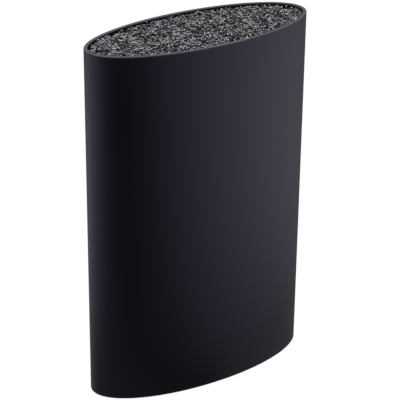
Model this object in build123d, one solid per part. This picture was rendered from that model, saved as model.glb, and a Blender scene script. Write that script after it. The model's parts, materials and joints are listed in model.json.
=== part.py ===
from build123d import *

import os
from math import cos, radians, sin

# An oval knife block: an upright elliptical shell with a lift-out insert of plastic bristles.
# Millimetres. +Z is up, +X is along the oval, and the origin is on the table under the middle.

# Overall size
BLOCK_LENGTH = 151.0
BLOCK_WIDTH = 61.2
BLOCK_HEIGHT = 230.0

# Outer shell
WALL = 2.5
RIM_ROUND = 0.6
HEM_ROUND = 0.5
TABLE_GAP = 1.0

# Base plate, set into a rebate round the shell's lower edge
BASE_THICKNESS = 2.5
BASE_RECESS = 0.6
REBATE_DEPTH = 1.0
REBATE_CLEARANCE = 0.15
BASE_DRAIN_LENGTH = 20.0
BASE_DRAIN_WIDTH = 3.0
BASE_DRAIN_PITCH = 28.0

# Screws, and the bosses they go up into
SCREW_ANGLE = 18.0
SCREW_DIAMETER = 2.9
SCREW_SHANK = 6.0
SCREW_HEAD_DIAMETER = 5.5
SCREW_HEAD_HEIGHT = 1.5
SCREW_HOLE_CLEARANCE = 0.15
SCREW_HEAD_CLEARANCE = 0.25
SCREW_TIP_CHAMFER = 0.6
SCREW_TIP_SPACE = 0.5
CROSS_SLOT_LENGTH = 3.0
CROSS_SLOT_WIDTH = 0.7
CROSS_SLOT_DEPTH = 0.9
BOSS_DIAMETER = 7.0
BOSS_HEIGHT = 6.0
BOSS_BITE = 0.6

# Rubber feet, pushed up through the base plate
FOOT_ANGLE = 50.0
FOOT_DIAMETER = 12.0
FOOT_MARGIN = 3.0
FOOT_SEAT_DEPTH = 1.0
FOOT_EDGE_ROUND = 0.5
STEM_DIAMETER = 4.0
BARB_DIAMETER = 5.4
BARB_TIP_DIAMETER = 3.2
BARB_HEIGHT = 1.8

# Tray that carries the bristles and lifts out of the shell
TRAY_CLEARANCE = 0.5
TRAY_WALL = 1.5
TRAY_FLOOR = 2.0
TRAY_HEIGHT = 14.0
TRAY_EDGE_ROUND = 1.0
TRAY_LIP_ROUND = 0.5
TRAY_DRAIN_LENGTH = 16.0
TRAY_DRAIN_WIDTH = 2.6
TRAY_DRAIN_PITCH = 26.0
PEG_DIAMETER = 4.0
PEG_CLEARANCE = 0.05
PEG_SHARE = 0.6

# Bristles: four rows of tufts on four root strips, with a knife slot between each two rows
SLOT_WIDTH = 4.6
STRIP_THICKNESS = 3.0
STRIP_LIP = 0.5
STRIP_CLEARANCE = 0.1
ROW_CLEARANCE = 0.3
ROOT_GAP = 0.15
TIP_DROP = 2.0
TUFT_GAP = 0.8
INNER_TUFTS = 5
OUTER_TUFTS = 4
ROW_LEAN = 0.6

# Half-axes of the ovals that the pieces share
OUTER_A = BLOCK_LENGTH / 2
OUTER_B = BLOCK_WIDTH / 2
INNER_A = OUTER_A - WALL
INNER_B = OUTER_B - WALL
REBATE_A = INNER_A + REBATE_DEPTH
REBATE_B = INNER_B + REBATE_DEPTH
TRAY_A = INNER_A - TRAY_CLEARANCE
TRAY_B = INNER_B - TRAY_CLEARANCE
WELL_A = TRAY_A - TRAY_WALL
WELL_B = TRAY_B - TRAY_WALL

# Levels, from the table up
SHELL_BOTTOM = TABLE_GAP
BASE_BOTTOM = SHELL_BOTTOM + BASE_RECESS
BASE_TOP = BASE_BOTTOM + BASE_THICKNESS
BOSS_TOP = BASE_TOP + BOSS_HEIGHT
TRAY_BOTTOM = BOSS_TOP
TRAY_FLOOR_TOP = TRAY_BOTTOM + TRAY_FLOOR
STRIP_TOP = TRAY_FLOOR_TOP + STRIP_THICKNESS
ROW_BOTTOM = STRIP_TOP + ROOT_GAP
ROW_TOP = BLOCK_HEIGHT - TIP_DROP

# Rows across the oval: the well less three slots, shared by four rows
ROW_A = WELL_A - ROW_CLEARANCE
ROW_B = WELL_B - ROW_CLEARANCE
ROW_WIDTH = (2 * ROW_B - 3 * SLOT_WIDTH) / 4
ROW_PITCH = ROW_WIDTH + SLOT_WIDTH
ROW_CENTRES = [(n - 1.5) * ROW_PITCH for n in range(4)]
SLOT_CENTRES = [-ROW_PITCH, 0.0, ROW_PITCH]
LEAN_SHIFT = (ROW_TOP - ROW_BOTTOM) * sin(radians(ROW_LEAN))


def oval(a, b, low, high, shift=0.0):
    """An upright elliptical prism with half-axes a and b, moved across by shift."""
    face = Pos(0, shift, low) * Ellipse(a, b)
    return extrude(face, amount=high - low)


def rod(x, y, radius, low, high):
    """An upright round rod."""
    middle = Pos(x, y, (low + high) / 2)
    return middle * Cylinder(radius, high - low)


def block(x_low, x_high, y_low, y_high, low, high):
    """A box between the given planes."""
    middle = Pos((x_low + x_high) / 2, (y_low + y_high) / 2, (low + high) / 2)
    return middle * Box(x_high - x_low, y_high - y_low, high - low)


def slot(x, y, length, width, low, high):
    """A round-ended upright slot along X."""
    face = Pos(x, y, low) * SlotOverall(length, width)
    return extrude(face, amount=high - low)


def corners(a, b, angle):
    """The four points, one in each quarter, at one angle on an oval."""
    x = a * cos(radians(angle))
    y = b * sin(radians(angle))
    return [(-x, -y), (x, -y), (-x, y), (x, y)]


def edges_at(solid, level):
    """The edges that lie wholly at one level."""
    return solid.edges().filter_by_position(Axis.Z, level - 0.01, level + 0.01)


def screw_places():
    inset = BOSS_DIAMETER / 2 - BOSS_BITE
    return corners(INNER_A - inset, INNER_B - inset, SCREW_ANGLE)


def foot_places():
    inset = FOOT_DIAMETER / 2 + FOOT_MARGIN
    return corners(INNER_A - inset, INNER_B - inset, FOOT_ANGLE)


def outer_shell():
    tube = oval(OUTER_A, OUTER_B, SHELL_BOTTOM, BLOCK_HEIGHT)
    tube -= oval(INNER_A, INNER_B, SHELL_BOTTOM, BLOCK_HEIGHT)
    tube = fillet(edges_at(tube, BLOCK_HEIGHT), min(RIM_ROUND, 0.48 * WALL))
    outline = oval(OUTER_A - WALL / 2, OUTER_B - WALL / 2, BASE_TOP, BOSS_TOP)
    for x, y in screw_places():
        tube += rod(x, y, BOSS_DIAMETER / 2, BASE_TOP, BOSS_TOP) & outline
    tube -= oval(REBATE_A, REBATE_B, SHELL_BOTTOM, BASE_TOP)
    skirt = WALL - REBATE_DEPTH
    tube = fillet(edges_at(tube, SHELL_BOTTOM).sort_by(SortBy.LENGTH)[-1], min(HEM_ROUND, 0.48 * skirt))
    hole_top = min(screw_tip() + SCREW_TIP_SPACE, BOSS_TOP)
    for x, y in screw_places():
        tube -= rod(x, y, SCREW_DIAMETER / 2, BASE_TOP, hole_top)
    return tube


def base_plate():
    a = REBATE_A - REBATE_CLEARANCE
    b = REBATE_B - REBATE_CLEARANCE
    plate = oval(a, b, BASE_BOTTOM, BASE_TOP)
    for x, y in screw_places():
        plate -= rod(x, y, SCREW_DIAMETER / 2 + SCREW_HOLE_CLEARANCE, BASE_BOTTOM, BASE_TOP)
        head_space = SCREW_HEAD_DIAMETER / 2 + SCREW_HEAD_CLEARANCE
        plate -= rod(x, y, head_space, BASE_BOTTOM, BASE_BOTTOM + SCREW_HEAD_HEIGHT)
    for x, y in foot_places():
        plate -= rod(x, y, FOOT_DIAMETER / 2, BASE_BOTTOM, BASE_BOTTOM + FOOT_SEAT_DEPTH)
        plate -= rod(x, y, STEM_DIAMETER / 2, BASE_BOTTOM, BASE_TOP)
    for n in (-1, 0, 1):
        plate -= slot(n * BASE_DRAIN_PITCH, 0, BASE_DRAIN_LENGTH, BASE_DRAIN_WIDTH, BASE_BOTTOM, BASE_TOP)
    return plate


def screw_tip():
    return BASE_BOTTOM + SCREW_HEAD_HEIGHT + SCREW_SHANK


def base_screw(x, y):
    head_top = BASE_BOTTOM + SCREW_HEAD_HEIGHT
    screw = rod(x, y, SCREW_HEAD_DIAMETER / 2, BASE_BOTTOM, head_top)
    screw += rod(x, y, SCREW_DIAMETER / 2, head_top, screw_tip())
    screw = chamfer(edges_at(screw, screw_tip()), SCREW_TIP_CHAMFER)
    half_length = CROSS_SLOT_LENGTH / 2
    half_width = CROSS_SLOT_WIDTH / 2
    top = BASE_BOTTOM + CROSS_SLOT_DEPTH
    screw -= block(x - half_length, x + half_length, y - half_width, y + half_width, BASE_BOTTOM, top)
    screw -= block(x - half_width, x + half_width, y - half_length, y + half_length, BASE_BOTTOM, top)
    return screw


def foot(x, y):
    pad = rod(x, y, FOOT_DIAMETER / 2, 0, BASE_BOTTOM + FOOT_SEAT_DEPTH)
    pad = fillet(edges_at(pad, 0), min(FOOT_EDGE_ROUND, 0.9 * TABLE_GAP))
    stem = rod(x, y, STEM_DIAMETER / 2, BASE_BOTTOM + FOOT_SEAT_DEPTH, BASE_TOP)
    barb = Pos(x, y, BASE_TOP + BARB_HEIGHT / 2) * Cone(BARB_DIAMETER / 2, BARB_TIP_DIAMETER / 2, BARB_HEIGHT)
    return pad + stem + barb


def peg_places(row):
    """Where the two pegs of one row's root strip stand."""
    y = ROW_CENTRES[row]
    reach = ROW_A * (1 - (y / ROW_B) ** 2) ** 0.5 * PEG_SHARE
    return [(-reach, y), (reach, y)]


def insert_tray():
    tray = oval(TRAY_A, TRAY_B, TRAY_BOTTOM, TRAY_BOTTOM + TRAY_HEIGHT)
    tray -= oval(WELL_A, WELL_B, TRAY_FLOOR_TOP, TRAY_BOTTOM + TRAY_HEIGHT)
    tray = fillet(edges_at(tray, TRAY_BOTTOM), min(TRAY_EDGE_ROUND, 0.9 * TRAY_FLOOR))
    tray = fillet(edges_at(tray, TRAY_BOTTOM + TRAY_HEIGHT), min(TRAY_LIP_ROUND, 0.48 * TRAY_WALL))
    for y in SLOT_CENTRES:
        for n in (-1, 0, 1):
            x = n * TRAY_DRAIN_PITCH
            tray -= slot(x, y, TRAY_DRAIN_LENGTH, TRAY_DRAIN_WIDTH, TRAY_BOTTOM, TRAY_FLOOR_TOP)
    for row in range(4):
        for x, y in peg_places(row):
            tray += rod(x, y, PEG_DIAMETER / 2, TRAY_FLOOR_TOP, STRIP_TOP)
    return tray


def root_strip(row):
    y = ROW_CENTRES[row]
    half = ROW_WIDTH / 2 + STRIP_LIP
    strip = oval(WELL_A - STRIP_CLEARANCE, WELL_B - STRIP_CLEARANCE, TRAY_FLOOR_TOP, STRIP_TOP)
    strip &= block(-OUTER_A, OUTER_A, y - half, y + half, TRAY_FLOOR_TOP, STRIP_TOP)
    for x, peg_y in peg_places(row):
        strip -= rod(x, peg_y, PEG_DIAMETER / 2 + PEG_CLEARANCE, TRAY_FLOOR_TOP, STRIP_TOP)
    return strip


def row_leans(row):
    """How far a row's tips move across: inner rows both ways, outer rows inwards only."""
    if row == 0:
        return [LEAN_SHIFT]
    if row == 3:
        return [-LEAN_SHIFT]
    return [-LEAN_SHIFT, LEAN_SHIFT]


def row_space(row):
    """The upright space in which a row stays clear of the tray, and of the shell as it leans."""
    space = oval(ROW_A, ROW_B, ROW_BOTTOM, ROW_TOP)
    reach_a = INNER_A - ROW_CLEARANCE
    reach_b = INNER_B - ROW_CLEARANCE
    for lean in row_leans(row):
        space &= oval(reach_a, reach_b, ROW_BOTTOM, ROW_TOP, -lean)
    return space


def row_tufts(row):
    """One row's tufts, from its -X end to its +X end."""
    y = ROW_CENTRES[row]
    inner = row in (1, 2)
    count = INNER_TUFTS if inner else OUTER_TUFTS
    inner_edge = abs(y) - ROW_WIDTH / 2
    length = 2 * ROW_A * (1 - (inner_edge / ROW_B) ** 2) ** 0.5
    pitch = length / count
    space = row_space(row)
    tufts = []
    for n in range(count):
        left = -length / 2 + n * pitch + TUFT_GAP / 2
        right = left + pitch - TUFT_GAP
        cut = block(left, right, y - ROW_WIDTH / 2, y + ROW_WIDTH / 2, ROW_BOTTOM, ROW_TOP)
        tufts.append(space & cut)
    return tufts


def save(name, shape):
    export_step(shape, os.path.join("parts", name + ".step"))


def main():
    os.makedirs("parts", exist_ok=True)
    save("outer_shell", outer_shell())
    save("base_plate", base_plate())
    save("base_screws", Compound(children=[base_screw(x, y) for x, y in screw_places()]))
    foot_names = ("front_left", "front_right", "rear_left", "rear_right")
    for name, (x, y) in zip(foot_names, foot_places()):
        save("foot_" + name, foot(x, y))
    save("insert_tray", insert_tray())
    for row in range(4):
        save(f"root_strip_{row + 1}", root_strip(row))
        for n, tuft in enumerate(row_tufts(row)):
            save(f"bristle_tuft_{row + 1}_{n + 1}", tuft)


main()
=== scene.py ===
"""An oval knife block: a soft-touch shell round a lift-out insert of upright plastic bristles."""

import json
from math import cos, pi, radians, sin, sqrt

import bpy
import numpy as np
from mathutils import Matrix, Vector
from mathutils.kdtree import KDTree


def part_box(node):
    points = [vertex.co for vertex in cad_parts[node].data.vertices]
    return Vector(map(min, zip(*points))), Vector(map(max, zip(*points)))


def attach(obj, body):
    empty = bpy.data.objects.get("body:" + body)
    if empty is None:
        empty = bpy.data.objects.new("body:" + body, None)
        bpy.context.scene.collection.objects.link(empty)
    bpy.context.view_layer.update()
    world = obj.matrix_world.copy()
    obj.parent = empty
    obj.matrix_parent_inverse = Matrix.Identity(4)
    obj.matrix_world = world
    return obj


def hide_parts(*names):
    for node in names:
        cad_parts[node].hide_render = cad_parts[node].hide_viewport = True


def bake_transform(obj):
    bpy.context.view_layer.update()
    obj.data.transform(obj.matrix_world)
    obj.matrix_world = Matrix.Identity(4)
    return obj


bl_info = {
    "name": "Oval Bristle Knife Block",
    "version": (1, 0, 0),
    "blender": (4, 5, 0),
    "location": "3D View > Sidebar > Knife Block",
    "description": "Builds an oval knife block with a bristle insert around its packed frame",
    "category": "Object",
}

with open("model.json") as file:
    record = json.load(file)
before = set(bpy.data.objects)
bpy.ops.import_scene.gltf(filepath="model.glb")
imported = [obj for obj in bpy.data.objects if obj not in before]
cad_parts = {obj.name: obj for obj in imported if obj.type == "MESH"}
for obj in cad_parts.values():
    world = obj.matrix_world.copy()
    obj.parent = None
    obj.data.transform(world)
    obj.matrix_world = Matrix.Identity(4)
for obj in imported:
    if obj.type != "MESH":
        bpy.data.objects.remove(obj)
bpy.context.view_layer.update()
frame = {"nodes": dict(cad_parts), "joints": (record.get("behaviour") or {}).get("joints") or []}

MM = 0.001
WHITE = (1.0, 1.0, 1.0)
ROWS = ("front_row", "mid_front_row", "mid_rear_row", "rear_row")
INNER_ROWS = (1, 2)
TUFT_NAME = "bristle_tuft_{}_{}"


# --------------------------------------------------------------------------- places from the frame

def middle(node):
    low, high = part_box(node)
    return (low + high) / 2


def half_size(node):
    low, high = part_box(node)
    return (high - low) / 2


def tuft_nodes(row):
    """The frame's tufts of one row, from its -X end to its +X end."""
    stem = TUFT_NAME.format(row + 1, "")
    found = [node for node in frame["nodes"] if node.startswith(stem)]
    return sorted(found, key=lambda node: middle(node).x)


def row_limits(row):
    """The lowest and highest y of one row's tufts."""
    boxes = [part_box(node) for node in tuft_nodes(row)]
    return min(low.y for low, high in boxes), max(high.y for low, high in boxes)


SHELL_LOW, SHELL_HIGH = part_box("outer_shell")
OVAL_A = SHELL_HIGH.x
OVAL_B = SHELL_HIGH.y
BASE_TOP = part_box("base_plate")[1].z
TRAY_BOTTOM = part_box("insert_tray")[0].z
ROOT_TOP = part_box("root_strip_1")[1].z
TIP_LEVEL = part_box("bristle_tuft_2_3")[1].z


# --------------------------------------------------------------------------- settings

class ShellSettings(bpy.types.PropertyGroup):
    wall: bpy.props.FloatProperty(
        name="Wall", description="Thickness of the shell's wall", default=2.5 * MM, unit="LENGTH")
    rim_round: bpy.props.FloatProperty(
        name="Rim round", description="Radius of the rim's two edges", default=0.6 * MM, unit="LENGTH")
    hem_round: bpy.props.FloatProperty(
        name="Hem round", description="Radius of the lower outer edge", default=0.5 * MM, unit="LENGTH")
    rebate: bpy.props.FloatProperty(
        name="Rebate", description="Depth of the rebate for the base plate", default=1.0 * MM,
        unit="LENGTH")
    boss_diameter: bpy.props.FloatProperty(
        name="Boss diameter", description="Width of a screw boss", default=7.0 * MM, unit="LENGTH")
    screw_diameter: bpy.props.FloatProperty(
        name="Screw diameter", description="Width of the hole in a boss", default=2.9 * MM, unit="LENGTH")
    screw_head: bpy.props.FloatProperty(
        name="Screw head", description="Width of a base screw's head", default=5.5 * MM, unit="LENGTH")
    sides: bpy.props.IntProperty(
        name="Sides", description="Facets round the oval", default=240, min=32)
    coating: bpy.props.FloatVectorProperty(
        name="Coating", description="Colour of the soft-touch coating", subtype="COLOR", min=0, max=1,
        default=(0.0042, 0.0039, 0.0061))
    # Also lightens the rim band: a painted highlight along the rounded rim, besides the wear greying the
    # hem.
    rubbed_grey_and_rim_highlight: bpy.props.FloatVectorProperty(
        name="Rubbed coating", description="Colour of the coating where handling has greyed it",
        subtype="COLOR", min=0, max=1, default=(0.036, 0.036, 0.033))


class FittingSettings(bpy.types.PropertyGroup):
    base: bpy.props.FloatVectorProperty(
        name="Base", description="Colour of the base plate", subtype="COLOR", min=0, max=1,
        default=(0.016, 0.016, 0.018))
    tray: bpy.props.FloatVectorProperty(
        name="Tray", description="Colour of the lift-out tray", subtype="COLOR", min=0, max=1,
        default=(0.026, 0.026, 0.028))
    rubber: bpy.props.FloatVectorProperty(
        name="Rubber", description="Colour of the clean rubber feet", subtype="COLOR", min=0, max=1,
        default=(0.022, 0.022, 0.022))
    bloom: bpy.props.FloatVectorProperty(
        name="Bloom", description="Colour of the dusty bloom on the feet", subtype="COLOR", min=0, max=1,
        default=(0.060, 0.058, 0.056))
    zinc: bpy.props.FloatVectorProperty(
        name="Zinc", description="Colour of the screws' plating", subtype="COLOR", min=0, max=1,
        default=(0.68, 0.67, 0.64))
    scuffed_zinc: bpy.props.FloatVectorProperty(
        name="Scuffed zinc", description="Colour of the plating where it is scuffed", subtype="COLOR",
        min=0, max=1, default=(0.50, 0.50, 0.49))
    fused: bpy.props.FloatVectorProperty(
        name="Fused roots", description="Colour of the melted roots", subtype="COLOR", min=0, max=1,
        default=(0.050, 0.049, 0.052))
    root_seam: bpy.props.FloatVectorProperty(
        name="Root seams", description="Colour between the melted roots", subtype="COLOR", min=0, max=1,
        default=(0.018, 0.018, 0.019))


class BristleSettings(bpy.types.PropertyGroup):
    diameter: bpy.props.FloatProperty(
        name="Diameter", description="Thickness of one filament", default=1.1 * MM, unit="LENGTH")
    count: bpy.props.IntProperty(
        name="Count", description="Filaments in the whole insert", default=4100, min=100)
    tip_rise: bpy.props.FloatProperty(
        name="Tip rise", description="How far the tips stand above the frame's plain tufts",
        default=0.4 * MM, unit="LENGTH")
    wall_gap: bpy.props.FloatProperty(
        name="Wall gap", description="Space between the outermost tips and the shell",
        default=0.25 * MM, unit="LENGTH")
    tip_spread: bpy.props.FloatProperty(
        name="Tip spread", description="How unevenly the tips are cut", default=0.5 * MM,
        unit="LENGTH")
    bow: bpy.props.FloatProperty(
        name="Bow", description="How far a filament bows along its length", default=0.4 * MM,
        unit="LENGTH")
    patchiness: bpy.props.FloatProperty(
        name="Patchiness", description="How much the ends' shade varies from place to place",
        default=0.20, min=0, max=1)
    tray_wall: bpy.props.FloatProperty(
        name="Tray wall", description="Thickness of the wall of the tray that the roots stand in",
        default=1.5 * MM, unit="LENGTH")
    seed: bpy.props.IntProperty(name="Seed", description="Arrangement of the filaments", default=11)
    side_colour: bpy.props.FloatVectorProperty(
        name="Side", description="Colour of the filaments' sides", subtype="COLOR", min=0, max=1,
        default=(0.016, 0.0155, 0.0175))
    cut_dark: bpy.props.FloatVectorProperty(
        name="Dark ends", description="Colour of the darkest cut ends", subtype="COLOR", min=0, max=1,
        default=(0.008, 0.0078, 0.0084))
    cut_pale: bpy.props.FloatVectorProperty(
        name="Pale ends", description="Colour of the palest cut ends", subtype="COLOR", min=0, max=1,
        default=(0.720, 0.694, 0.745))


class StageSettings(bpy.types.PropertyGroup):
    azimuth: bpy.props.FloatProperty(
        name="Azimuth", description="Camera's turn round the block", default=radians(-32.53),
        subtype="ANGLE")
    elevation: bpy.props.FloatProperty(
        name="Elevation", description="Camera's height angle", default=radians(26.40), subtype="ANGLE")
    roll: bpy.props.FloatProperty(
        name="Roll", description="Camera's tilt to one side", default=radians(0.64), subtype="ANGLE")
    distance: bpy.props.FloatProperty(
        name="Distance", description="From the block's middle to the camera", default=1.0484,
        unit="LENGTH")
    aside: bpy.props.FloatProperty(
        name="Aside", description="Camera's shift to its right", default=2.13 * MM, unit="LENGTH")
    above: bpy.props.FloatProperty(
        name="Above", description="Camera's shift upwards", default=1.05 * MM, unit="LENGTH")
    lens: bpy.props.FloatProperty(
        name="Lens", description="Focal length in millimetres", default=151.8)
    dome: bpy.props.FloatProperty(
        name="Dome", description="Strength of the light from all round", default=0.5)
    key: bpy.props.FloatProperty(
        name="Key", description="Power of the overhead soft box in watts", default=12.0)
    gloss: bpy.props.FloatProperty(
        name="Gloss", description="Brightness of the walls and floor that the block reflects",
        default=1.0)
    tint: bpy.props.FloatVectorProperty(
        name="Tint", description="Colour of the light that the block reflects", subtype="COLOR",
        min=0, max=2, default=(1.0, 0.99, 1.09))
    floor: bpy.props.FloatVectorProperty(
        name="Floor", description="Colour of the floor", subtype="COLOR", min=0, max=1,
        default=(0.90, 0.90, 0.90))


# --------------------------------------------------------------------------- shader sums

class Shade:
    """One output of a shader node. Python sums on it add Math nodes."""

    def __init__(self, tree, output=None):
        self.tree = tree
        self.output = output

    def node(self, kind, inputs=None, out=0, stops=None, **settings):
        """Adds a node, sets it up, fills or links its inputs, and returns one of its outputs."""
        made = self.tree.nodes.new("ShaderNode" + kind)
        for name, value in settings.items():
            setattr(made, name, value)
        if stops:
            ramp = made.color_ramp.elements
            while len(ramp) < len(stops):
                ramp.new(1.0)
            for element, (place, level) in zip(ramp, stops):
                element.position = place
                element.color = (level, level, level, 1.0)
        for name, value in (inputs or {}).items():
            if isinstance(value, Shade):
                self.tree.links.new(value.output, made.inputs[name])
            else:
                made.inputs[name].default_value = value
        return Shade(self.tree, made.outputs[out] if made.outputs else None)

    def sum(self, operation, first, second=0.0):
        return self.node("Math", {0: first, 1: second}, operation=operation)

    def __add__(self, other):
        return self.sum("ADD", self, other)

    def __radd__(self, other):
        return self.sum("ADD", other, self)

    def __sub__(self, other):
        return self.sum("SUBTRACT", self, other)

    def __rsub__(self, other):
        return self.sum("SUBTRACT", other, self)

    def __mul__(self, other):
        return self.sum("MULTIPLY", self, other)

    def __rmul__(self, other):
        return self.sum("MULTIPLY", other, self)

    def __pow__(self, other):
        return self.sum("POWER", self, other)

    def clear_between(self, low, high):
        """0 below low, 1 above high, smooth between."""
        limits = {"Value": self, "From Min": low, "From Max": high}
        return self.node("MapRange", limits, interpolation_type="SMOOTHSTEP")

    def mix(self, first, second):
        """A colour from first, where this is 0, to second, where it is 1."""
        return self.node("Mix", {"Factor": self, 6: first, 7: second}, out=2, data_type="RGBA")


def colour(rgb):
    return (*rgb, 1.0)


def new_material(name):
    """An empty material, and the start of its sums."""
    material = bpy.data.materials.new(name)
    material.use_nodes = True
    material.node_tree.nodes.clear()
    start = Shade(material.node_tree)
    return material, start


def close_material(start, surface):
    """Joins the finished surface to the material's output."""
    start.node("OutputMaterial", {"Surface": surface})


def place_on(start):
    return start.node("TexCoord", out="Object")


def bump(start, height, strength, depth):
    return start.node("Bump", {"Height": height, "Strength": strength, "Distance": depth}, out="Normal")


# --------------------------------------------------------------------------- materials

# Height of the rim band that is painted lighter as a highlight, in rim rounds.
RIM_HIGHLIGHT_SPAN = 1.2
HEM_WEAR = 2.0 * MM


def soft_touch_material(settings):
    """Matt rubbery paint: fine orange peel, faint handling marks, a hem greyed by wear, and a rim painted
    lighter grey as a highlight.
    """
    material, start = new_material("soft_touch_coating")
    place = place_on(start)
    peel = start.node("TexNoise", {"Vector": place, "Scale": 1600.0, "Detail": 3.0, "Roughness": 0.6})
    marks = start.node("TexNoise", {"Vector": place, "Scale": 22.0, "Detail": 4.0, "Roughness": 0.55})
    smear = start.node("TexNoise", {"Vector": place, "Scale": 7.0, "Detail": 2.0, "Distortion": 0.8})
    height = start.node("SeparateXYZ", {"Vector": place}, out="Z")
    # rim: band of painted highlight along the rounded rim; hem: band greyed by wear at the base.
    rim = height.clear_between(SHELL_HIGH.z - RIM_HIGHLIGHT_SPAN * settings.rim_round, SHELL_HIGH.z)
    hem = 1.0 - height.clear_between(SHELL_LOW.z, SHELL_LOW.z + HEM_WEAR)
    handled = marks.clear_between(0.45, 0.75) * smear.clear_between(0.35, 0.7)
    wear_and_rim_highlight = rim * 0.7 + hem * 0.35
    rough = 0.38 + 0.05 * marks - 0.05 * handled - 0.10 * wear_and_rim_highlight
    # The painted highlight on the rim and the wear on the hem both shift the coating towards the grey
    # colour.
    paint = (wear_and_rim_highlight * (0.5 + marks)).mix(colour(settings.coating), colour(settings.rubbed_grey_and_rim_highlight))
    surface = start.node("BsdfPrincipled", {
        "Base Color": paint,
        "Roughness": rough,
        "IOR": 1.46,
        "Specular Tint": (0.76, 0.70, 1.0, 1.0),
        "Normal": bump(start, peel, 0.25, 0.02 * MM),
    })
    close_material(start, surface)
    return material


def moulded_material(name, base, rough, grain_depth):
    """Plain moulded plastic with an eroded grain."""
    material, start = new_material(name)
    place = place_on(start)
    grain = start.node("TexVoronoi", {"Vector": place, "Scale": 2400.0}, out="Distance")
    cloud = start.node("TexNoise", {"Vector": place, "Scale": 60.0, "Detail": 4.0})
    tone = cloud.mix(colour([0.8 * c for c in base]), colour([1.3 * c for c in base]))
    surface = start.node("BsdfPrincipled", {
        "Base Color": tone,
        "Roughness": rough - 0.08 + 0.16 * cloud,
        "Normal": bump(start, grain, 0.4, grain_depth),
    })
    close_material(start, surface)
    return material


def rubber_material(settings):
    """Matt black rubber with a dusty bloom."""
    material, start = new_material("grip_rubber")
    place = place_on(start)
    bloom = start.node("TexNoise", {"Vector": place, "Scale": 300.0, "Detail": 5.0, "Roughness": 0.7})
    tone = bloom.clear_between(0.4, 0.8).mix(colour(settings.rubber), colour(settings.bloom))
    surface = start.node("BsdfPrincipled", {
        "Base Color": tone,
        "Roughness": 0.72 + 0.2 * bloom,
        "Normal": bump(start, bloom, 0.3, 0.05 * MM),
    })
    close_material(start, surface)
    return material


def screw_material(settings):
    """Zinc-plated steel, slightly yellowed and scuffed by the driver."""
    material, start = new_material("zinc_plated_steel")
    place = place_on(start)
    scuff = start.node("TexNoise", {"Vector": place, "Scale": 1500.0, "Detail": 4.0, "Roughness": 0.7})
    tone = scuff.mix(colour(settings.scuffed_zinc), colour(settings.zinc))
    surface = start.node("BsdfPrincipled", {
        "Base Color": tone,
        "Metallic": 1.0,
        "Roughness": 0.22 + 0.25 * scuff,
        "Normal": bump(start, scuff, 0.2, 0.02 * MM),
    })
    close_material(start, surface)
    return material


def root_material(settings):
    """Filament ends melted together into a solid strip, with their outlines still showing."""
    material, start = new_material("fused_roots")
    place = place_on(start)
    cells = start.node("TexVoronoi", {"Vector": place, "Scale": 640.0}, out="Distance")
    cloud = start.node("TexNoise", {"Vector": place, "Scale": 250.0, "Detail": 3.0})
    seam = cells * 0.8 + cloud * 0.3
    tone = seam.mix(colour(settings.fused), colour(settings.root_seam))
    surface = start.node("BsdfPrincipled", {
        "Base Color": tone,
        "Roughness": 0.35 + 0.3 * cloud,
        "Normal": bump(start, cells, 0.5, 0.15 * MM),
    })
    close_material(start, surface)
    return material


def filament_material(settings):
    """Extruded filament: dark, half glossy, with fine draw lines along its length."""
    material, start = new_material("filament_side")
    place = place_on(start)
    drawn = start.node("Mapping", {"Vector": place, "Scale": (1.0, 1.0, 0.02)})
    lines = start.node("TexNoise", {"Vector": drawn, "Scale": 9000.0, "Detail": 2.0})
    shade = start.node("Attribute", out="Fac", attribute_name="shade")
    darkest = colour([0.55 * c for c in settings.side_colour])
    palest = colour([1.9 * c for c in settings.side_colour])
    tone = (0.55 * shade + 0.35 * lines).mix(darkest, palest)
    surface = start.node("BsdfPrincipled", {
        "Base Color": tone,
        "Roughness": 0.34 + 0.16 * lines,
        "Normal": bump(start, lines, 0.15, 0.02 * MM),
    })
    close_material(start, surface)
    return material


def cut_end_material(settings):
    """Sheared filament end: paler, matt and a little torn."""
    material, start = new_material("filament_cut_end")
    place = place_on(start)
    torn = start.node("TexNoise", {"Vector": place, "Scale": 3200.0, "Detail": 3.0, "Roughness": 0.65})
    shade = start.node("Attribute", out="Fac", attribute_name="shade")
    pale = shade ** 1.8 * (0.7 + 0.45 * torn.clear_between(0.3, 0.7))
    tone = pale.mix(colour(settings.cut_dark), colour(settings.cut_pale))
    surface = start.node("BsdfPrincipled", {
        "Base Color": tone,
        "Roughness": 0.50 + 0.25 * torn,
        "IOR": 1.35,
        "Normal": bump(start, torn, 0.5, 0.05 * MM),
    })
    close_material(start, surface)
    return material


# --------------------------------------------------------------------------- modelling by hand

def deselect_all():
    """Leaves edit mode and clears the selection, so that an operator acts only on what comes next."""
    if bpy.context.object and bpy.context.object.mode != "OBJECT":
        bpy.ops.object.mode_set(mode="OBJECT")
    bpy.ops.object.select_all(action="DESELECT")


def pick(piece):
    deselect_all()
    piece.select_set(True)
    bpy.context.view_layer.objects.active = piece


def arc(centre_in, centre_up, radius, start, stop, steps=6):
    """Points of a quarter round in a wall's section: (distance in from the outside, height)."""
    turns = [start + (stop - start) * n / steps for n in range(steps + 1)]
    return [(centre_in - radius * cos(t), centre_up + radius * sin(t)) for t in turns]


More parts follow.
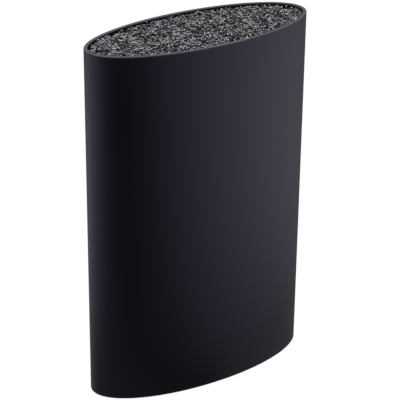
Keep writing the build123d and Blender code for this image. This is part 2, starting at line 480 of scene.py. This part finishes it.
def sweep_oval(name, section, sides):
    """A closed oval ring drawn from its wall's section by extruding and scaling one loop of edges."""
    deselect_all()
    bpy.ops.mesh.primitive_circle_add(vertices=sides, radius=1.0, fill_type="NOTHING", location=(0, 0, 0))
    piece = bpy.context.object
    piece.name = name
    piece.data.name = name
    bpy.ops.object.mode_set(mode="EDIT")
    bpy.ops.mesh.select_all(action="SELECT")
    inset, height = section[0]
    bpy.ops.transform.resize(value=(OVAL_A - inset, OVAL_B - inset, 1.0), center_override=(0, 0, 0))
    bpy.ops.transform.translate(value=(0, 0, height))
    for next_inset, next_height in section[1:] + section[:1]:
        rise = (0, 0, next_height - height)
        bpy.ops.mesh.extrude_region_move(TRANSFORM_OT_translate={"value": rise})
        scale_x = (OVAL_A - next_inset) / (OVAL_A - inset)
        scale_y = (OVAL_B - next_inset) / (OVAL_B - inset)
        bpy.ops.transform.resize(value=(scale_x, scale_y, 1.0), center_override=(0, 0, next_height))
        inset, height = next_inset, next_height
    bpy.ops.mesh.select_all(action="SELECT")
    bpy.ops.mesh.remove_doubles(threshold=0.02 * MM)
    bpy.ops.mesh.normals_make_consistent(inside=False)
    bpy.ops.object.mode_set(mode="OBJECT")
    return piece


def merge_into(piece, other):
    """Joins another closed solid into a piece as one skin."""
    pick(piece)
    bpy.ops.object.modifier_add(type="BOOLEAN")
    union = piece.modifiers[-1]
    union.operation = "UNION"
    union.solver = "EXACT"
    union.object = other
    bpy.ops.object.modifier_apply(modifier=union.name)
    bpy.data.objects.remove(other)


def smooth(piece, angle):
    """Shades a piece smooth, but for its edges sharper than an angle in degrees."""
    pick(piece)
    bpy.ops.object.shade_smooth_by_angle(angle=radians(angle))


def dress(node, material):
    """Gives a node of the frame a finished material."""
    for entry in frame["nodes"][node].material_slots:
        entry.material = material


# --------------------------------------------------------------------------- shell

SIDE_RINGS = 8
HEM_STEPS = 4
BOSS_SIDES = 32
HOLE_SHARE = 0.9


def shell_section(s):
    """The wall's section from the hem, up the outside, over the rim and down the inside."""
    bottom = SHELL_LOW.z
    low = bottom + s.hem_round
    high = SHELL_HIGH.z - s.rim_round
    points = arc(s.hem_round, low, s.hem_round, -pi / 2, 0.0, HEM_STEPS)
    points += [(0.0, low + (high - low) * n / SIDE_RINGS) for n in range(1, SIDE_RINGS)]
    points += arc(s.rim_round, high, s.rim_round, 0.0, pi / 2)
    points += arc(s.wall - s.rim_round, high, s.rim_round, pi / 2, pi)
    points += [(s.wall, BASE_TOP), (s.wall - s.rebate, BASE_TOP), (s.wall - s.rebate, bottom)]
    return points


def screw_boss(s, place):
    """A round post on the base plate, under the tray, with a blind screw hole in its lower end."""
    deselect_all()
    depth = TRAY_BOTTOM - BASE_TOP
    bpy.ops.mesh.primitive_cylinder_add(
        vertices=BOSS_SIDES, radius=s.boss_diameter / 2, depth=depth,
        location=(place.x, place.y, BASE_TOP + depth / 2))
    boss = bpy.context.object
    bpy.ops.object.transform_apply(location=True, rotation=False, scale=False)
    bpy.ops.object.mode_set(mode="EDIT")
    bpy.ops.mesh.select_all(action="DESELECT")
    bpy.ops.object.mode_set(mode="OBJECT")
    for face in boss.data.polygons:
        face.select = face.normal.z < -0.9
    bpy.ops.object.mode_set(mode="EDIT")
    bpy.ops.mesh.inset(thickness=(s.boss_diameter - s.screw_diameter) / 2)
    bpy.ops.mesh.extrude_region_move(TRANSFORM_OT_translate={"value": (0, 0, HOLE_SHARE * depth)})
    bpy.ops.object.mode_set(mode="OBJECT")
    return boss


def screw_middles(head):
    """Where the four screws stand, from the corners of the box round their heads."""
    low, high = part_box("base_screws")
    xs = (low.x + head / 2, high.x - head / 2)
    ys = (low.y + head / 2, high.y - head / 2)
    return [Vector((x, y, 0)) for x in xs for y in ys]


class KNIFEBLOCK_OT_shell(bpy.types.Operator):
    """Makes the oval shell, with its rounded rim, its rebate and the bosses for the base screws"""
    bl_idname = "knifeblock.shell"
    bl_label = "Outer Shell"

    def execute(self, context):
        s = context.scene.knifeblock_shell
        shell = sweep_oval("shell_skin", shell_section(s), s.sides)
        for place in screw_middles(s.screw_head):
            merge_into(shell, screw_boss(s, place))
        smooth(shell, 35.0)
        shell.data.materials.clear()
        shell.data.materials.append(soft_touch_material(s))
        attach(shell, "shell")
        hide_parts("outer_shell")
        return {"FINISHED"}


# --------------------------------------------------------------------------- base

class KNIFEBLOCK_OT_base(bpy.types.Operator):
    """Finishes the base plate, its screws and the rubber feet"""
    bl_idname = "knifeblock.base"
    bl_label = "Base, Screws and Feet"

    def execute(self, context):
        s = context.scene.knifeblock_fittings
        dress("base_plate", moulded_material("base_moulding", s.base, 0.5, 0.06 * MM))
        dress("base_screws", screw_material(s))
        rubber = rubber_material(s)
        for node in frame["nodes"]:
            if node.startswith("foot_"):
                dress(node, rubber)
        return {"FINISHED"}


# --------------------------------------------------------------------------- insert

class KNIFEBLOCK_OT_insert(bpy.types.Operator):
    """Finishes the lift-out tray and the root strips"""
    bl_idname = "knifeblock.insert"
    bl_label = "Tray and Root Strips"

    def execute(self, context):
        s = context.scene.knifeblock_fittings
        dress("insert_tray", moulded_material("tray_moulding", s.tray, 0.45, 0.05 * MM))
        roots = root_material(s)
        for row in range(len(ROWS)):
            dress(f"root_strip_{row + 1}", roots)
        return {"FINISHED"}


# --------------------------------------------------------------------------- bristles

# How closely roots fit their tray, how deep they stand in the strips, how far apart the tips are pushed
# as a share of the diameter, and how much filaments differ from each other.
FIT = 0.1 * MM
ROOT_DEPTH = 0.3 * MM
SPACING = 1.04
ROUNDS = 60
THICKNESS_RANGE = (0.90, 1.03)
SHORTEST = -1.2 * MM
LONGEST = 1.4 * MM
DOME_INSET = 0.12
DOME_RISE = 0.0006


def half_width(a, b, x):
    """Half of an oval's width at x."""
    return b * np.sqrt(np.clip(1.0 - (x / a) ** 2, 0.0, 1.0))


class BristleBed:
    """Where the filaments stand: their roots on the four strips, their tips all over the shell's mouth."""

    def __init__(self, s, wall):
        radius = s.diameter / 2
        tray = half_size("insert_tray")
        self.radius = radius
        self.pitch = middle("root_strip_2").y - middle("root_strip_1").y
        self.tip_a = OVAL_A - wall - s.wall_gap - radius
        self.tip_b = OVAL_B - wall - s.wall_gap - radius
        self.root_a = tray.x - s.tray_wall - radius - FIT
        self.root_b = tray.y - s.tray_wall - radius - FIT
        bend = next(j for j in frame["joints"] if j["name"] == "mid_front_row_bend")
        self.lean = sin(radians(bend["range_deg"][1])) * (TIP_LEVEL - bend["pos_m"][2])

    def row(self, y):
        """The row that each y belongs to."""
        return np.clip(np.floor(y / self.pitch).astype(int) + 2, 0, len(ROWS) - 1)

    def tip_reach(self, row, x):
        """How far from the middle plane a row's tips may be at x and still clear the shell as they lean."""
        room = self.lean if row in INNER_ROWS else 0.0
        return half_width(self.tip_a, self.tip_b, x) - room

    def tip_span(self, row, x):
        """The lowest and highest y of one row's tips at x."""
        reach = self.tip_reach(row, x)
        low = (row - 2) * self.pitch if row > 0 else -np.inf
        high = (row - 1) * self.pitch if row < 3 else np.inf
        return np.maximum(low, -reach), np.minimum(high, reach)

    def root_span(self, row, x):
        """The lowest and highest y of one row's roots at x."""
        low, high = row_limits(row)
        reach = half_width(self.root_a, self.root_b, x)
        return np.maximum(low + self.radius, -reach), np.minimum(high - self.radius, reach)

    def roots(self, row, tips):
        """The roots of one row's filaments: drawn in from the tips onto the row's own strip."""
        inner_edge = min(abs(v) for v in row_limits(row)) + self.radius
        longest = self.root_a * sqrt(1.0 - (inner_edge / self.root_b) ** 2)
        x = np.clip(tips[:, 0] * self.root_a / self.tip_a, -longest, longest)
        tip_low, tip_high = self.tip_span(row, tips[:, 0])
        low, high = self.root_span(row, x)
        share = (tips[:, 1] - tip_low) / np.maximum(tip_high - tip_low, FIT)
        return np.stack([x, low + np.clip(share, 0.0, 1.0) * np.maximum(high - low, 0.0)], axis=1)

    def keep_in(self, points):
        """Moves points that have left the bed back onto its edge."""
        over = np.hypot(points[:, 0] / self.tip_a, points[:, 1] / self.tip_b)
        points /= np.maximum(over, 1.0)[:, None]

    def at_end(self, tips):
        """Which of the inner rows' tips stand so near the shell that they can't lean with their row."""
        inner = np.isin(self.row(tips[:, 1]), INNER_ROWS)
        return inner & (np.abs(tips[:, 1]) > half_width(self.tip_a, self.tip_b, tips[:, 0]) - self.lean)

    def scatter(self, s, rng):
        """Tips at random over the bed, pushed apart round by round so that few overlap."""
        angle = rng.random(s.count) * 2 * pi
        reach = np.sqrt(rng.random(s.count))
        points = np.stack([self.tip_a * reach * np.cos(angle), self.tip_b * reach * np.sin(angle)], axis=1)
        self.keep_in(points)
        wanted = SPACING * s.diameter
        for _ in range(ROUNDS):
            tree = KDTree(s.count)
            for n, (x, y) in enumerate(points):
                tree.insert((x, y, 0.0), n)
            tree.balance()
            push = np.zeros_like(points)
            for n, (x, y) in enumerate(points):
                for near, m, distance in tree.find_range((x, y, 0.0), wanted):
                    if m != n and distance > 1e-9:
                        share = 0.5 * (wanted - distance) / distance
                        push[n] += (x - near.x) * share, (y - near.y) * share
            points += push
            self.keep_in(points)
        return points


class FilamentPattern:
    """The one modelled filament, of unit radius and height, and how copies of it are placed."""

    def __init__(self, s):
        piece = model_filament()
        mesh = piece.data
        places = np.empty(len(mesh.vertices) * 3)
        mesh.vertices.foreach_get("co", places)
        self.shape = places.reshape(-1, 3)
        self.faces = [list(face.vertices) for face in mesh.polygons]
        self.is_cut = [bool(self.shape[face, 2].min() > 0.999) for face in self.faces]
        self.materials = (filament_material(s), cut_end_material(s))
        bpy.data.objects.remove(piece)

    def tuft(self, name, roots, tips, s, rng):
        """A mesh of filaments from roots to tips, each a little bowed, turned and uneven in length."""
        count = len(tips)
        up = self.shape[:, 2]
        turn = rng.random(count)[:, None] * 2 * pi
        radius = (s.diameter / 2 * rng.uniform(*THICKNESS_RANGE, count))[:, None]
        uneven = np.clip(rng.normal(s.tip_rise, s.tip_spread, count), SHORTEST, LONGEST)
        bow = np.clip(rng.normal(0.0, s.bow, (count, 2)), -2 * s.bow, 2 * s.bow)
        line = roots[:, None, :] + (tips - roots)[:, None, :] * up[None, :, None]
        line += bow[:, None, :] * np.sin(pi * up)[None, :, None]
        across = self.shape[:, 0] * np.cos(turn) - self.shape[:, 1] * np.sin(turn)
        along = self.shape[:, 0] * np.sin(turn) + self.shape[:, 1] * np.cos(turn)
        foot = ROOT_TOP - ROOT_DEPTH
        height = foot + (TIP_LEVEL - foot + uneven)[:, None] * up[None, :]
        x = line[:, :, 0] + radius * across
        y = line[:, :, 1] + radius * along
        places = np.stack([x, y, height], axis=2)
        step = len(self.shape)
        faces = [[i + n * step for i in face] for n in range(count) for face in self.faces]
        mesh = bpy.data.meshes.new(name)
        mesh.from_pydata(places.reshape(-1, 3).tolist(), [], faces)
        for material in self.materials:
            mesh.materials.append(material)
        mesh.polygons.foreach_set("material_index", np.tile(np.array(self.is_cut, np.int32), count))
        shade = np.clip(rng.random(count) + s.patchiness * patches(tips), 0.0, 1.0)
        kept = mesh.attributes.new("shade", "FLOAT", "POINT")
        kept.data.foreach_set("value", np.repeat(shade, step).astype(np.float32))
        mesh.update()
        piece = bpy.data.objects.new(name, mesh)
        bpy.context.scene.collection.objects.link(piece)
        smooth(piece, 40.0)
        return piece


def patches(tips):
    """Soft darker and paler patches over the bed, between -1 and 1, some 15 mm across."""
    x, y = tips[:, 0], tips[:, 1]
    return np.sin(x * 410 + 2 * np.sin(y * 270)) * np.cos(y * 480)


def model_filament(sides=8, rings=3):
    """One filament of unit radius and height, ringed so that it can bow, with a bevelled cut end."""
    deselect_all()
    bpy.ops.mesh.primitive_cylinder_add(vertices=sides, radius=1.0, depth=1.0, location=(0, 0, 0.5))
    piece = bpy.context.object
    bpy.ops.object.transform_apply(location=True, rotation=False, scale=False)
    bpy.ops.object.mode_set(mode="EDIT")
    for ring in range(1, rings + 1):
        bpy.ops.mesh.select_all(action="SELECT")
        bpy.ops.mesh.bisect(plane_co=(0, 0, ring / (rings + 1)), plane_no=(0, 0, 1))
    bpy.ops.mesh.select_all(action="DESELECT")
    bpy.ops.object.mode_set(mode="OBJECT")
    for face in piece.data.polygons:
        face.select = face.normal.z > 0.9
    bpy.ops.object.mode_set(mode="EDIT")
    bpy.ops.mesh.inset(thickness=DOME_INSET)
    bpy.ops.transform.translate(value=(0, 0, DOME_RISE))
    bpy.ops.object.mode_set(mode="OBJECT")
    return piece


class KNIFEBLOCK_OT_bristles(bpy.types.Operator):
    """Makes the filaments: one is modelled, and every tuft is grown from copies of it"""
    bl_idname = "knifeblock.bristles"
    bl_label = "Bristles"

    def execute(self, context):
        s = context.scene.knifeblock_bristles
        rng = np.random.default_rng(s.seed)
        bed = BristleBed(s, context.scene.knifeblock_shell.wall)
        tips = bed.scatter(s, rng)
        at_end = bed.at_end(tips)
        pattern = FilamentPattern(s)
        for row, body in enumerate(ROWS):
            whole_row = bed.row(tips[:, 1]) == row
            in_row = tips[whole_row & ~at_end]
            nodes = tuft_nodes(row)
            breaks = [(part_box(a)[1].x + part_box(b)[0].x) / 2 for a, b in zip(nodes, nodes[1:])]
            for node, left, right in zip(nodes, [-OVAL_A] + breaks, breaks + [OVAL_A]):
                own = in_row[(in_row[:, 0] >= left) & (in_row[:, 0] < right)]
                piece = pattern.tuft(node + "_filaments", bed.roots(row, own), own, s, rng)
                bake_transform(piece)
                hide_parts(node)
            for end, beyond in (("left", tips[:, 0] < 0), ("right", tips[:, 0] > 0)):
                own = tips[whole_row & at_end & beyond]
                if len(own):
                    name = f"end_filaments_{row + 1}_{end}"
                    piece = pattern.tuft(name, bed.roots(row, own), own, s, rng)
                    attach(piece, "insert")
        return {"FINISHED"}


# --------------------------------------------------------------------------- stage

# Directions in degrees away from the dark gap, which faces the block's left front.
DARK_GAP = radians(127.0)
RIGHT_LIGHT = {"rise": (8.0, 90.0), "fall": (94.0, 152.0), "loss": 0.8}
RIGHT_POWER = 1.2
LEFT_LIGHT = {"rise": (5.0, 75.0), "fall": (80.0, 155.0), "loss": 0.9}

FLOOR_SIZE = 12.0
FLOOR_LEVEL = -0.1 * MM

# How far from the block's spine the floor's painted reflection brightens out of its painted shade, and how
# bright it is close by.
FLOOR_FADE = (-0.03, 0.36)
NEAR_SHARE = 0.12
NEAR_GLOW = 0.10
FLOOR_SHOWN = 0.92
FLOOR_GLOW = 1.05

# How the studio brightens with height.
SKY_RISE = (0.05, 0.5)
SKY_POWER = 1.1


def wide_light(turn, rise, fall, loss):
    """A light that swells and fades again with the direction."""
    return turn.clear_between(*rise) * (1.0 - loss * turn.clear_between(*fall))


def bright_side(start, x, y):
    """How bright the studio is towards a direction: a wide light on each side, and a dark gap between."""
    along = x * sin(DARK_GAP) + y * cos(DARK_GAP)
    across = x * cos(DARK_GAP) - y * sin(DARK_GAP)
    turn = start.sum("ARCTAN2", along, across) * (180.0 / pi)
    return wide_light(turn, **RIGHT_LIGHT) * RIGHT_POWER + wide_light(turn * -1.0, **LEFT_LIGHT)


def floor_material(s):
    """Plain white floor; in reflections it shows a painted glow, darker towards the gap, with painted shade
    close to the block.
    """
    material, start = new_material("studio_floor")
    place = place_on(start)
    x = start.node("SeparateXYZ", {"Vector": place}, out="X")
    y = start.node("SeparateXYZ", {"Vector": place}, out="Y")
    past_spine = start.sum("MAXIMUM", start.sum("ABSOLUTE", x) - (OVAL_A - OVAL_B), 0.0)
    reach = start.sum("SQRT", past_spine * past_spine + y * y)
    clear_of_painted_shade = reach.clear_between(*FLOOR_FADE)
    far = bright_side(start, x, y) * (NEAR_SHARE + (1.0 - NEAR_SHARE) * clear_of_painted_shade)
    # Painted reflection: the floor glows for reflected rays only, with painted shade near the block.
    painted_reflection_level = (far + NEAR_GLOW * (1.0 - clear_of_painted_shade)) * s.gloss
    matt = start.node("BsdfDiffuse", {"Color": colour(s.floor)})
    painted_reflection = start.node("Emission", {"Color": colour(s.tint), "Strength": painted_reflection_level})
    glow = start.node("Emission", {"Color": colour(WHITE), "Strength": FLOOR_GLOW})
    seen = start.node("LightPath", out="Is Camera Ray")
    glossy = start.node("LightPath", out="Is Glossy Ray")
    lit = start.node("MixShader", {0: glossy, 1: matt, 2: painted_reflection})
    close_material(start, start.node("MixShader", {0: seen * FLOOR_SHOWN, 1: lit, 2: glow}))
    return material


def studio_world(s):
    """White all round as seen straight; in reflections, the studio's lights with white above."""
    world = bpy.data.worlds.new("studio")
    world.use_nodes = True
    world.node_tree.nodes.clear()
    start = Shade(world.node_tree)
    way = start.node("TexCoord", out="Generated")
    x = start.node("SeparateXYZ", {"Vector": way}, out="X")
    y = start.node("SeparateXYZ", {"Vector": way}, out="Y")
    z = start.node("SeparateXYZ", {"Vector": way}, out="Z")
    seen = start.node("LightPath", out="Is Camera Ray")
    glossy = start.node("LightPath", out="Is Glossy Ray")
    above = z.clear_between(*SKY_RISE) * SKY_POWER
    reflected = start.sum("MAXIMUM", bright_side(start, x, y) * s.gloss, above)
    level = glossy * reflected + (1.0 - glossy) * s.dome
    glow = start.node("Background", {
        "Color": glossy.mix(colour(WHITE), colour(s.tint)),
        "Strength": start.sum("MAXIMUM", seen, level)})
    start.node("OutputWorld", {"Surface": glow})
    bpy.context.scene.world = world


def overhead_light(s):
    """A large soft box above and behind the block."""
    place = Vector((0.2, 0.3, 1.4))
    light = bpy.data.lights.new("overhead", "AREA")
    light.size = 1.4
    light.energy = s.key
    lamp = bpy.data.objects.new("overhead", light)
    bpy.context.scene.collection.objects.link(lamp)
    lamp.location = place
    lamp.rotation_euler = (Vector((0, 0, 0.1)) - place).to_track_quat("-Z", "Y").to_euler()
    lamp.visible_camera = False


def studio_camera(s):
    """A long lens that looks down on the block from its left front."""
    level = cos(s.elevation)
    back = Vector((sin(s.azimuth) * level, -cos(s.azimuth) * level, sin(s.elevation)))
    right = Vector((cos(s.azimuth), sin(s.azimuth), 0.0))
    up = back.cross(right)
    aim = Vector((0.0, 0.0, (SHELL_LOW.z + SHELL_HIGH.z) / 2))
    place = aim + back * s.distance + right * s.aside + up * s.above
    across = right * cos(s.roll) + up * sin(s.roll)
    upright = up * cos(s.roll) - right * sin(s.roll)
    data = bpy.data.cameras.new("camera")
    data.lens = s.lens
    data.sensor_width = 36.0
    data.clip_start = 0.01
    camera = bpy.data.objects.new("camera", data)
    bpy.context.scene.collection.objects.link(camera)
    turn = Matrix((across, upright, back)).transposed().to_4x4()
    camera.matrix_world = Matrix.Translation(place) @ turn
    bpy.context.scene.camera = camera


class KNIFEBLOCK_OT_stage(bpy.types.Operator):
    """Makes the floor, the lights and the camera"""
    bl_idname = "knifeblock.stage"
    bl_label = "Stage"

    def execute(self, context):
        s = context.scene.knifeblock_stage
        context.scene.view_settings.view_transform = "Standard"
        deselect_all()
        bpy.ops.mesh.primitive_plane_add(size=FLOOR_SIZE, location=(0, 0, FLOOR_LEVEL))
        floor = context.object
        floor.name = "floor"
        floor.data.materials.append(floor_material(s))
        studio_world(s)
        overhead_light(s)
        studio_camera(s)
        return {"FINISHED"}


# --------------------------------------------------------------------------- panel

class KNIFEBLOCK_PT_panel(bpy.types.Panel):
    """Lists the steps of the build, each with its settings"""
    bl_idname = "KNIFEBLOCK_PT_panel"
    bl_label = "Knife Block"
    bl_space_type = "VIEW_3D"
    bl_region_type = "UI"
    bl_category = "Knife Block"

    def draw(self, context):
        for made, group in (
            (KNIFEBLOCK_OT_shell, context.scene.knifeblock_shell),
            (KNIFEBLOCK_OT_base, context.scene.knifeblock_fittings),
            (KNIFEBLOCK_OT_insert, None),
            (KNIFEBLOCK_OT_bristles, context.scene.knifeblock_bristles),
            (KNIFEBLOCK_OT_stage, context.scene.knifeblock_stage),
        ):
            box = self.layout.box()
            box.operator(made.bl_idname)
            for name in (group.__annotations__ if group else ()):
                box.prop(group, name)


CLASSES = (
    ShellSettings,
    FittingSettings,
    BristleSettings,
    StageSettings,
    KNIFEBLOCK_OT_shell,
    KNIFEBLOCK_OT_base,
    KNIFEBLOCK_OT_insert,
    KNIFEBLOCK_OT_bristles,
    KNIFEBLOCK_OT_stage,
    KNIFEBLOCK_PT_panel,
)


def register():
    for made in CLASSES:
        bpy.utils.register_class(made)
    bpy.types.Scene.knifeblock_shell = bpy.props.PointerProperty(type=ShellSettings)
    bpy.types.Scene.knifeblock_fittings = bpy.props.PointerProperty(type=FittingSettings)
    bpy.types.Scene.knifeblock_bristles = bpy.props.PointerProperty(type=BristleSettings)
    bpy.types.Scene.knifeblock_stage = bpy.props.PointerProperty(type=StageSettings)


def unregister():
    del bpy.types.Scene.knifeblock_stage
    del bpy.types.Scene.knifeblock_bristles
    del bpy.types.Scene.knifeblock_fittings
    del bpy.types.Scene.knifeblock_shell
    for made in reversed(CLASSES):
        bpy.utils.unregister_class(made)


def main():
    register()
    bpy.ops.knifeblock.stage()
    bpy.ops.knifeblock.shell()
    bpy.ops.knifeblock.base()
    bpy.ops.knifeblock.insert()
    bpy.ops.knifeblock.bristles()


if __name__ == "__main__":
    main()
